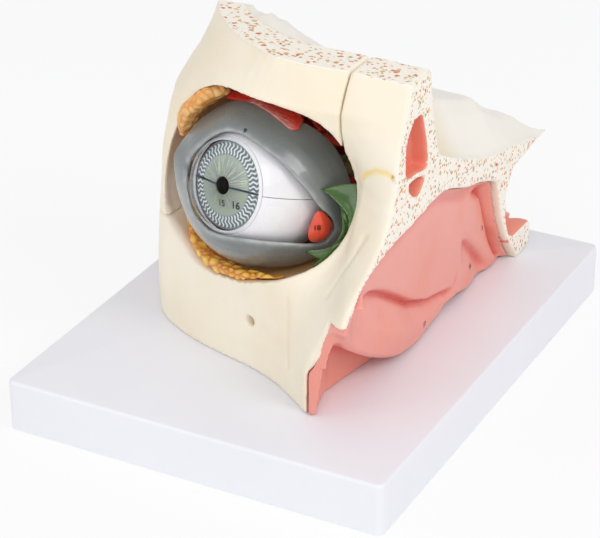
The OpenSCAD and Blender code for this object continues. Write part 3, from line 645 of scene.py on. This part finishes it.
# Painted shade inside the orbit: reach from the eye, soft edge, strength
ORBIT_R, ORBIT_FADE, ORBIT_SHADE = 70, 9, 0.8
# Paler paint on the braincase floor: where it starts, soft edge
BRAIN_Y, BRAIN_FADE = 10, 30


def cut_depth(obj, margin):
    """Flattens the cut faces again and stores how deep inside a cut face each of its points is."""
    co, nor = coords(obj), normals(obj)
    on_cut = np.zeros(len(co), bool)
    for axis, level in ((0, MID_X), (2, CUT_Z)):
        near = (np.abs(co[:, axis] / MM - level) < 1.6) & (nor[:, axis] > 0.75)
        co[near, axis] = level * MM
        on_cut |= near
    put_coords(obj, co)
    tree = KDTree(int((~on_cut).sum()))
    for i, p in enumerate(co[~on_cut]):
        tree.insert(p, i)
    tree.balance()
    deep = np.zeros(len(co))
    for i in np.nonzero(on_cut)[0]:
        deep[i] = max(0.05, tree.find(co[i])[2] / (margin * MM))
    put_value(obj, "cut", deep)


def in_reach(co, reach):
    x, y, z = (co / MM).T
    (y_from, y_to), (z_from, z_to), deep = reach
    return (x > MID_X - deep) & (y > y_from) & (y < y_to) & (z > z_from) & (z < z_to)


def in_sinus(co):
    """1 on the walls of the opened sinuses, apart from the bar across the front one."""
    y, z = co[:, 1] / MM, co[:, 2] / MM
    bar = np.abs(z - (BAR_Z - BAR_FALL * (y - BAR_Y))) < BAR_HALF
    return ((in_reach(co, FRONT_SINUS) & ~bar) | in_reach(co, BACK_SINUS)).astype(float)


def make_bone(label, source, voxel, body):
    obj = welded(label, source)
    remesh(obj, voxel, 5, 0.55)
    co, nor = coords(obj), normals(obj)
    shape = 0.22 * wobble(co, 22, 3) + 0.08 * wobble(co, 6, 5)
    for line, deep, width in BONE_CARVING:
        shape -= deep * ridge(co, line, width)
    swell(obj, shape)
    to_eyeball = np.array(EYE) * MM - co
    from_eyeball = np.linalg.norm(to_eyeball, axis=1) / MM
    looks_in = (to_eyeball * nor).sum(1) > 0
    put_value(obj, "suture", ridge(co, SUTURE, 1.6))
    # Painted shade: dark brown in the gap of the suture on the cut face
    put_value(obj, "suture_cut_shade", ridge(co, SUTURE_CUT, 0.8))
    # Painted shade: brown on the inward-facing walls of the orbit
    put_value(obj, "inside", np.where(looks_in, ORBIT_SHADE * (ORBIT_R - from_eyeball) / ORBIT_FADE, 0))
    put_value(obj, "cranial", (co[:, 1] / MM - BRAIN_Y) / BRAIN_FADE * (nor[:, 2] > -0.2))
    put_value(obj, "lining", in_sinus(co))
    # Painted shade in the hollows of the bone
    put_value(obj, "hollow", 0.55 * hollows(obj, 26, 2.2))
    cut_depth(obj, 3.2)
    shade(obj, 45)
    return finish_piece(obj, BONE, body, "bone", source)


make_bone("skull_casting", "skull_block", 1.6, "base")
make_bone("roof_casting", "orbit_roof", 1.1, "roof")

# ---------- nose lining and sinus linings ----------


def make_nose():
    obj = welded("nose_lining_casting", "nasal_wall")
    remesh(obj, 1.15, 6, 0.6)
    swell(obj, 0.12 * wobble(coords(obj), 14, 9))
    # Painted shade: the deep red laid into the folds and hollows
    put_value(obj, "hollow", 1.7 * hollows(obj, 60, 2.6))
    shade(obj, 60)
    return finish_piece(obj, MUCOSA, "base", "mucosa", "nasal_wall")


make_nose()


def make_lining(label, source):
    obj = welded(label, source)
    remesh(obj, 0.55, 3)
    # Painted shade: a little of the deep tone all over, more in the hollows
    put_value(obj, "hollow", 0.1 + 0.3 * hollows(obj, 30, 0.8))
    shade(obj, 50)
    return finish_piece(obj, MUCOSA, "base", "mucosa", source)


make_lining("frontal_sinus_lining", "frontal_sinus")
make_lining("sphenoid_sinus_lining", "sphenoid_sinus")

# ---------- soft tissue ----------


def make_lumpy(label, source, voxel, size, rise, seed, material, body, slot, towards_eye=0.0):
    """Piece with rounded lobes, which may also be filled out on the side that faces the eyeball."""
    obj = welded(label, source)
    remesh(obj, voxel, 2)
    co, nor = coords(obj), normals(obj)
    lumps = lobules(co, size, seed)
    to_eyeball = np.array(EYE) * MM - co
    faces_eye = np.clip((to_eyeball * nor).sum(1) / np.linalg.norm(to_eyeball, axis=1), 0, 1)
    swell(obj, towards_eye * faces_eye + (lumps - 0.75) * rise)
    # Painted shade between the lobes
    put_value(obj, "hollow", (1 - lumps) ** 1.6)
    shade(obj, 60)
    return finish_piece(obj, material, body, slot, source)


make_lumpy("fat_casting", "orbital_fat", 0.6, 6.4, 1.2, 2, FAT, "base", "fat")
make_lumpy("gland_casting", "lacrimal_gland", 0.5, 5.0, 0.7, 4, GLAND, "roof", "gland", towards_eye=3.6)


def make_smooth(label, source, voxel, rounds, material, body, slot, deep, wave):
    obj = welded(label, source)
    remesh(obj, voxel, rounds)
    swell(obj, wave * wobble(coords(obj), 4, 6))
    # Painted shade in the hollows, for a material that lays it on
    put_value(obj, "hollow", hollows(obj, 24, deep))
    shade(obj, 60)
    return finish_piece(obj, material, body, slot, source)


def curve_through(rail, steps):
    """Evenly spread places on a smooth curve through the places of a rail."""
    rail = np.array(rail, float)
    ends = np.vstack([2 * rail[0] - rail[1], rail, 2 * rail[-1] - rail[-2]])
    out = []
    for t in np.linspace(0, len(rail) - 1, steps):
        k = min(int(t), len(rail) - 2)
        f = t - k
        a, b, c, d = ends[k : k + 4]
        bend = (2 * a - 5 * b + 4 * c - d) * f * f + (3 * b - a - 3 * c + d) * f**3
        out.append(0.5 * (2 * b + (c - a) * f + bend))
    return np.array(out)


FRONT = Vector((0.35, -0.82, 0.45))  # roughly the way the lids look


def leaf(label, rail_a, rail_b, crown, thickness):
    """Thin crowned leaf between two rails, its crown standing out towards the front of the model."""
    steps, across = 72, 16
    first, second = curve_through(rail_a, steps), curve_through(rail_b, steps)
    work = bmesh.new()
    rows = []
    for a, b in zip(first, second):
        row = []
        for k in range(across + 1):
            share = k / across
            place = a + (b - a) * share + np.array(FRONT) * crown * math.sin(math.pi * share)
            row.append(work.verts.new(place * MM))
        rows.append(row)
    for one, two in zip(rows, rows[1:]):
        for k in range(across):
            work.faces.new((one[k], one[k + 1], two[k + 1], two[k]))
    face_towards(work, FRONT)
    obj = from_work(label, work)
    thicken(obj, thickness)
    round_edge = obj.modifiers.new("round_edge", "BEVEL")
    round_edge.width = 0.35 * thickness * MM
    round_edge.segments = 2
    return settle(obj)


# Rails of the two leaves, in millimetres
DUCT_INNER = [
    (31.1, -56.4, 148.0), (34.5, -55.3, 145.7), (38.3, -55.1, 142.9), (42.2, -54.9, 139.8),
    (45.9, -55.1, 136.6), (48.4, -56.1, 133.0), (49.4, -58.1, 128.9), (49.0, -60.4, 124.6),
    (46.9, -62.6, 120.8), (41.7, -63.9, 116.9), (34.9, -63.4, 113.0), (28.2, -63.2, 110.6),
    (23.3, -62.9, 109.0),
]
DUCT_OUTER = [
    (31.6, -56.0, 148.3), (36.5, -52.8, 150.3), (42.9, -48.8, 151.3), (50.8, -45.0, 150.8),
    (53.0, -46.7, 146.2), (53.8, -49.4, 141.0), (54.0, -52.4, 135.9), (54.2, -55.3, 130.8),
    (53.6, -59.1, 125.1), (51.3, -62.3, 119.5), (45.9, -64.3, 112.5), (37.9, -65.4, 107.0),
    (25.1, -63.6, 108.4),
]
FLAP_FRONT = [
    (-47.8, -31.5, 182.6), (-42.6, -34.7, 182.3), (-34.0, -36.7, 184.3), (-23.4, -39.8, 185.8),
    (-15.5, -43.2, 186.0), (-7.5, -45.8, 184.9), (-0.6, -47.4, 182.5), (5.0, -48.6, 180.0),
    (8.2, -47.8, 179.1), (10.0, -45.0, 179.9),
]
FLAP_BACK = [
    (-50.0, -30.0, 184.8), (-45.3, -29.7, 185.6), (-36.4, -29.8, 186.2), (-27.4, -31.2, 186.6),
    (-20.0, -32.4, 186.7), (-13.0, -33.1, 185.8), (-6.4, -34.0, 184.9), (-0.9, -34.4, 183.7),
    (4.2, -34.0, 182.0), (8.5, -35.7, 179.7),
]


def make_duct_leaf():
    """Green leaf of the tear ducts, over the edge of the lids at their inner corner."""
    obj = leaf("tear_duct_leaf", DUCT_INNER, DUCT_OUTER, 0.9, 1.1)
    co, nor = coords(obj), normals(obj)
    line = 0.72 * np.array(DUCT_INNER) + 0.28 * np.array(DUCT_OUTER)
    groove = ridge(co, line, 0.7)
    swell(obj, 0.15 * wobble(co, 6, 6) - 0.35 * groove)
    # Painted shade in the groove
    put_value(obj, "hollow", 0.7 * groove)
    rubbed = np.maximum(ridge(co, DUCT_INNER, 0.55), ridge(co + nor * 0.8 * MM, line, 0.5))
    put_value(obj, "margin", rubbed * (0.35 + 1.2 * wobble(co, 1.4, 8)))
    shade(obj, 60)
    return finish_piece(obj, SAC, "eyelids", "sac_green")


def make_levator_flap():
    """Red flap of the lid's lifting muscle, over the upper edge of the lids."""
    obj = leaf("levator_flap", FLAP_FRONT, FLAP_BACK, 0.6, 1.6)
    co = coords(obj)
    middle = ridge(co, [FLAP_FRONT[3], FLAP_FRONT[7]], 3.2)
    put_value(obj, "tendon", 0.42 * middle * (1 + 0.5 * wobble(co, 3, 4)))
    shade(obj, 60)
    return finish_piece(obj, FLAP, "eye_upper", "muscle")


SAC_GROOVE = [
    (45.2, -56.9, 134.6), (48.1, -57.3, 129.5), (48.4, -59.1, 125.2), (47.2, -61.8, 121.5),
    (43.2, -65.6, 118.3),
]


def make_sac():
    obj = welded("sac_casting", "lacrimal_sac")
    remesh(obj, 0.4, 3)
    co, nor = coords(obj), normals(obj)
    groove = ridge(co, SAC_GROOVE, 0.8)
    swell(obj, 0.25 * wobble(co, 5, 6) - 0.6 * groove)
    # Painted shade in the groove and the hollows
    put_value(obj, "hollow", np.maximum(0.6 * groove, hollows(obj, 24, 0.8)))
    put_value(obj, "margin", ridge(co + nor * 0.9 * MM, SAC_GROOVE, 1.1) * (0.3 + wobble(co, 1.2, 8)))
    shade(obj, 60)
    return finish_piece(obj, SAC, "base", "sac_green", "lacrimal_sac")


make_sac()
make_duct_leaf()
make_levator_flap()
make_smooth("caruncle_casting", "caruncle", 0.35, 2, RED, "eyelids", "caruncle_red", 0.6, 0.1)
make_smooth("nerve_casting", "optic_nerve", 0.6, 4, NERVE, "eye_lower", "nerve", 1.0, 0.3)

# ---------- muscles ----------


ALONG, ACROSS = (1.2, 14, 1.2), (14, 1.2, 1.2)  # size of the fibres, in millimetres, on each axis of the eye


def make_muscle(source, body, fibre, material, tendon):
    """Muscle with raised fibres; its tendon is the pale end at the front of the eyeball."""
    obj = welded(source + "_casting", source)
    remesh(obj, 0.6, 3)
    local = to_eye(coords(obj))
    lines = np.array([noise.noise(Vector(p)) for p in local / np.array(fibre)])
    swell(obj, 0.14 * lines)
    front = local[:, 1].min()
    put_value(obj, "tendon", (front + 17 - local[:, 1] + 3 * lines) / 6 if tendon else 0 * lines)
    shade(obj, 60)
    return finish_piece(obj, material, body, "muscle", source)


for source, body in (
    ("medial_rectus", "eye_lower"),
    ("lateral_rectus", "eye_lower"),
    ("inferior_rectus", "eye_lower"),
    ("superior_rectus", "eye_upper"),
    ("levator", "eye_upper"),
):
    make_muscle(source, body, ALONG, MUSCLE, source != "levator")
make_muscle("inferior_oblique", "eye_lower", ACROSS, CROSS_MUSCLE, False)
make_muscle("superior_oblique", "eye_upper", ALONG, CROSS_MUSCLE, False)

# ---------- eyeball ----------


def make_plain(label, source, material, body, slot, angle=32):
    obj = welded(label, source)
    shade(obj, angle)
    return finish_piece(obj, material, body, slot, source)


make_plain("white_coat_low", "sclera_lower", WHITE, "eye_lower", "sclera")
make_plain("white_coat_top", "sclera_upper", WHITE, "eye_upper", "sclera")
make_plain("dark_coat_low", "choroid_lower", CHOROID, "choroid_low", "choroid")
make_plain("dark_coat_top", "choroid_upper", CHOROID, "choroid_top", "choroid")
make_plain("clear_body", "vitreous_body", GLASS_BODY, "vitreous", "clear")
make_plain("clear_lens", "lens", LENS, "lens_part", "clear")

CORNEA_R, CORNEA_RISE, CORNEA_WALL, CORNEA_RIM = 29.5, 14.5, 2.0, 28.2
CORNEA_BASE = math.sqrt(EYE_R**2 - CORNEA_R**2)
DOME_R = (CORNEA_R**2 + CORNEA_RISE**2) / (2 * CORNEA_RISE)
DOME_Y = CORNEA_BASE + CORNEA_RISE - DOME_R


def dome(radius, wall_in):
    """Forward place of the dome's outer or inner face at a radius, down to the level of its base."""
    return max(CORNEA_BASE, DOME_Y + math.sqrt(max(0, (DOME_R - wall_in) ** 2 - radius**2)))


def make_cornea():
    """Clear dome with an inner and an outer face, and the white rim that seats it."""
    work = bmesh.new()
    rings, around = 16, 96
    edges = []
    for wall in (0.0, CORNEA_WALL):
        pole = work.verts.new(from_eye(0, -dome(0, wall), 0))
        last = None
        for k in range(1, rings + 1):
            r = CORNEA_RIM * k / rings
            ring = []
            for i in range(around):
                turn = 2 * math.pi * i / around
                ring.append(work.verts.new(round_gaze(r, turn, dome(r, wall))))
            for i in range(around):
                j = (i + 1) % around
                if last is None:
                    work.faces.new((pole, ring[i], ring[j]))
                else:
                    work.faces.new((last[i], ring[i], ring[j], last[j]))
            last = ring
        edges.append(last)
    for i in range(around):
        j = (i + 1) % around
        work.faces.new((edges[0][i], edges[1][i], edges[1][j], edges[0][j]))
    bmesh.ops.recalc_face_normals(work, faces=work.faces)
    obj = from_work("clear_cornea", work)
    shade(obj, 40)
    finish_piece(obj, CORNEA, "cornea_part", "clear", "cornea")
    steps = 6
    radii = [CORNEA_RIM + (CORNEA_R - CORNEA_RIM) * k / steps for k in range(steps + 1)]
    profile = [(r, dome(r, 0)) for r in radii] + [(CORNEA_RIM, CORNEA_BASE)]
    ring = revolve("cornea_rim", profile, 120)
    shade(ring, 50)
    finish_piece(ring, RIM, "cornea_part", "sclera")


make_cornea()

IRIS_R, PUPIL_R, IRIS_EDGE_Y, IRIS_PUPIL_Y, IRIS_T = 26.0, 5.5, 31.0, 35.8, 1.2
STROKE_RISE, RING_DEPTH, FIBRE_RISE = 0.2, 0.25, 0.12  # relief of the iris, in millimetres
# These keep the relief within the solid, and each half clear of the other
IRIS_SINK, IRIS_THINNER, IRIS_HALF_GAP = 0.25, 0.3, 0.2


def make_iris(label, source, side, material, body):
    """Half of the iris, with raised wavy strokes and fibres, and a polar map for its paint."""
    around, out = 420, 44
    work = bmesh.new()
    layer = work.loops.layers.uv.new("polar")
    grid = []
    for i in range(around + 1):
        row = []
        for k in range(out + 1):
            share = k / out
            r = PUPIL_R + (IRIS_R - PUPIL_R) * share
            edge = math.asin(IRIS_HALF_GAP / r)
            turn = edge + (math.pi - 2 * edge) * i / around
            part = turn / (2 * math.pi)
            bent = part + STROKE_BEND * math.sin(share * STROKE_WAVE)
            stroke = max(0, math.sin(bent * STROKES * 2 * math.pi)) if 0.64 < share < 0.95 else 0
            lift = STROKE_RISE * stroke - RING_DEPTH * (0.6 < share < 0.64)
            lift += FIBRE_RISE * noise.noise(Vector((part * 120, share * 2, 3)))
            y = IRIS_PUPIL_Y + (IRIS_EDGE_Y - IRIS_PUPIL_Y) * share - IRIS_SINK + lift
            row.append((work.verts.new(round_gaze(r, turn, y, side)), part, share))
        grid.append(row)
    for i in range(around):
        for k in range(out):
            corners = (grid[i][k], grid[i + 1][k], grid[i + 1][k + 1], grid[i][k + 1])
            face = work.faces.new([c[0] for c in corners])
            for loop, c in zip(face.loops, corners):
                loop[layer].uv = (c[1], c[2])
    face_towards(work, from_eye(0, -1, 0) - from_eye(0, 0, 0))
    obj = from_work(label, work)
    thicken(obj, IRIS_T - IRIS_THINNER)
    settle(obj)
    local = to_eye(coords(obj))
    # Painted shade at the seam between the halves, strongest at its edge
    put_value(obj, "seam", 1.6 - (np.abs(local[:, 2]) - IRIS_HALF_GAP) / 0.45)
    shade(obj, 50)
    return finish_piece(obj, material, body, "iris", source)


make_iris("iris_half_low", "iris_lower", -1, IRIS_LOW, "choroid_low")
make_iris("iris_half_top", "iris_upper", 1, IRIS_TOP, "choroid_top")

# ---------- eyelids ----------


# Edge of the opening between the lids: turn and tilt from the gaze in degrees, radius in millimetres
LID_OPENING = [
    (162, 38, 47.9), (145, 35, 48.3), (128, 35, 48.5), (110, 38, 49), (93, 42, 49.2), (75, 44.5, 49.4),
    (57, 47, 49.8), (43, 51, 50), (33, 56, 50.4), (19, 64, 51), (7, 74, 52), (-3, 83, 53), (-9, 93, 54.5),
    (-18, 101, 56), (-28, 99, 55.5), (-31, 88, 53.5), (-34, 73, 51), (-42, 56, 49.6), (-55, 45, 48.6),
    (-75, 38.5, 48.4), (-100, 37, 48.3), (-130, 36, 48.2), (-160, 36, 48), (-182, 37, 47.9),
]


def from_gaze(turn, tilt, r):
    turn, tilt = math.radians(turn), math.radians(tilt)
    return tuple(round_gaze(r * math.sin(tilt), turn, r * math.cos(tilt)) / MM)


def make_lids():
    obj = welded("eyelid_casting", "eyelid_plate")
    remesh(obj, 0.7, 2)
    co = coords(obj)
    near_edge = ridge(co, [from_gaze(*row) for row in LID_OPENING], 2.4)
    swell(obj, 0.1 * wobble(co, 9, 12) + 0.03 * wobble(co, 2.5, 13))
    # Painted shade in the hollows of the lid plate
    put_value(obj, "hollow", 0.6 * hollows(obj, 30, 0.8))
    put_value(obj, "margin", 0.8 * near_edge * (0.7 + 0.4 * wobble(co, 5, 21)))
    shade(obj, 60)
    return finish_piece(obj, LID, "eyelids", "lid_grey", "eyelid_plate")


make_lids()

# ---------- board ----------

make_plain("board_moulding", "base_board", BOARD, "base", "board_white", 28)
for name in ("board_screw_1", "board_screw_2", "board_screw_3", "roof_peg_front", "roof_peg_back"):
    make_plain(name + "_turned", name, STEEL, "base", "steel", 30)

# ---------- floor and light ----------


FLOOR_HALF, FLOOR_DROP = 4.0, 0.0003  # metres


def make_floor():
    """Plain ground that looks white to the camera and still takes the shadows."""
    work = bmesh.new()
    ends = (-FLOOR_HALF, FLOOR_HALF)
    square = ((ends[0], ends[0]), (ends[1], ends[0]), (ends[1], ends[1]), (ends[0], ends[1]))
    corners = [work.verts.new((x, y, -FLOOR_DROP)) for x, y in square]
    work.faces.new(corners)
    floor = from_work("floor", work)
    made = bpy.data.materials.new("pale_floor")
    made.use_nodes = True
    tree = made.node_tree
    tree.nodes.clear()
    end = tree.nodes.new("ShaderNodeOutputMaterial")
    matte = node(tree, "ShaderNodeBsdfDiffuse", {"Color": (0.9, 0.9, 0.91, 1)})
    glow = node(tree, "ShaderNodeEmission", {"Color": (1, 1, 1, 1), "Strength": 1.0})
    path = tree.nodes.new("ShaderNodeLightPath")
    seen = maths(tree, "MAXIMUM", path.outputs["Is Camera Ray"], path.outputs["Is Glossy Ray"])
    seen = maths(tree, "MAXIMUM", seen, path.outputs["Is Transmission Ray"])
    share = maths(tree, "MULTIPLY", seen, 0.8)
    mixed = node(tree, "ShaderNodeMixShader", {0: share, 1: matte.outputs[0], 2: glow.outputs[0]})
    tree.links.new(mixed.outputs[0], end.inputs[0])
    floor.data.materials.append(made)


make_floor()


def make_world():
    world = bpy.data.worlds.new("studio")
    bpy.context.scene.world = world
    world.use_nodes = True
    tree = world.node_tree
    tree.nodes.clear()
    end = tree.nodes.new("ShaderNodeOutputWorld")
    soft = node(tree, "ShaderNodeBackground", {"Color": (1, 1, 1, 1), "Strength": 0.62})
    white = node(tree, "ShaderNodeBackground", {"Color": (1, 1, 1, 1), "Strength": 1.0})
    path = tree.nodes.new("ShaderNodeLightPath")
    seen = maths(tree, "MAXIMUM", path.outputs["Is Camera Ray"], path.outputs["Is Transmission Ray"])
    mixed = node(tree, "ShaderNodeMixShader", {0: seen, 1: soft.outputs[0], 2: white.outputs[0]})
    tree.links.new(mixed.outputs[0], end.inputs[0])


make_world()


AIM = Vector((0.0, -0.02, 0.12))


def soft_box(label, place, size, watts):
    data = bpy.data.lights.new(label, "AREA")
    data.shape = "RECTANGLE"
    data.size = data.size_y = size
    data.energy = watts
    lamp = link(bpy.data.objects.new(label, data))
    lamp.location = place
    lamp.rotation_euler = (AIM - Vector(place)).to_track_quat("-Z", "Y").to_euler()


soft_box("key_light", (1.63, -0.4, 1.53), 0.8, 12)
soft_box("front_light", (0.6, -1.75, 1.5), 1.3, 11)
soft_box("fill_light", (-1.4, -1.5, 1.1), 1.4, 6.5)

# ---------- numbers ----------


INK_RISE, REACH = 0.25, 6  # height of the ink over its surface, and how far off the surface is looked for


def number(label, text, place, facing, up, height, body, slot, on):
    """A plain printed number, laid on the surface of another piece."""
    font = bpy.data.curves.new(label, "FONT")
    font.body = text
    font.size = height * MM
    font.align_x = "CENTER"
    font.align_y = "CENTER"
    font.extrude = 0.02 * MM
    font.offset = 0.02 * height * MM
    shown = link(bpy.data.objects.new(label + "_type", font))
    out = Vector(facing).normalized()
    top = (Vector(up) - Vector(up).dot(out) * out).normalized()
    side = top.cross(out)
    turned = Matrix((side, top, out)).transposed().to_4x4()
    shown.matrix_world = Matrix.Translation(Vector(place) * MM) @ turned
    graph = bpy.context.evaluated_depsgraph_get()
    mesh = bpy.data.meshes.new_from_object(shown.evaluated_get(graph))
    mesh.transform(shown.matrix_world)
    bpy.data.objects.remove(shown)
    obj = link(bpy.data.objects.new(label, mesh))
    surface = BVHTree.FromObject(bpy.data.objects[on], graph)
    for v in mesh.vertices:
        hit = surface.ray_cast(v.co + out * REACH * MM, -out)
        if hit[0] is not None:
            v.co = hit[0] + out * INK_RISE * MM
    finish_piece(obj, INK, body, slot)


GAZE, BROW = (-0.27, -0.92, 0.28), (0, 0.29, 0.957)  # ways forward and up for print on the iris
for label, text, place, height in (
    ("number_16", "16", (10.8, -33.4, -9.8), 6.2),
    ("number_15", "15", (0.4, -35.1, -10.6), 5.4),
):
    number(label, text, from_eye(*place) / MM, GAZE, BROW, height, "choroid_low", "iris", "iris_half_low")
UPRIGHT, SIDEWAYS = (0, 0, 1), (1, 0, 0)
RED_PLACE, RED_FACING = (29.9, -60.2, 124.6), (0.3, -0.9, 0.1)
LID_PLACE, LID_FACING, LID_UP = (-17.0, -61.5, 177.7), (-0.1, -0.6, 0.8), (0, 0.6, 0.8)
number("number_18", "18", RED_PLACE, RED_FACING, UPRIGHT, 4.5, "eyelids", "caruncle_red", "caruncle_casting")
number("number_9", "9", LID_PLACE, LID_FACING, LID_UP, 4.2, "eyelids", "lid_grey", "eyelid_casting")
for label, text, place in (
    ("number_2", "2", (75.5, 81.3, 71.3)),
    ("number_19", "19", (73.0, 70.0, 47.9)),
    ("number_17", "17", (73.5, -5.0, 44.0)),
):
    number(label, text, place, SIDEWAYS, UPRIGHT, 4.2, "base", "mucosa", "nose_lining_casting")
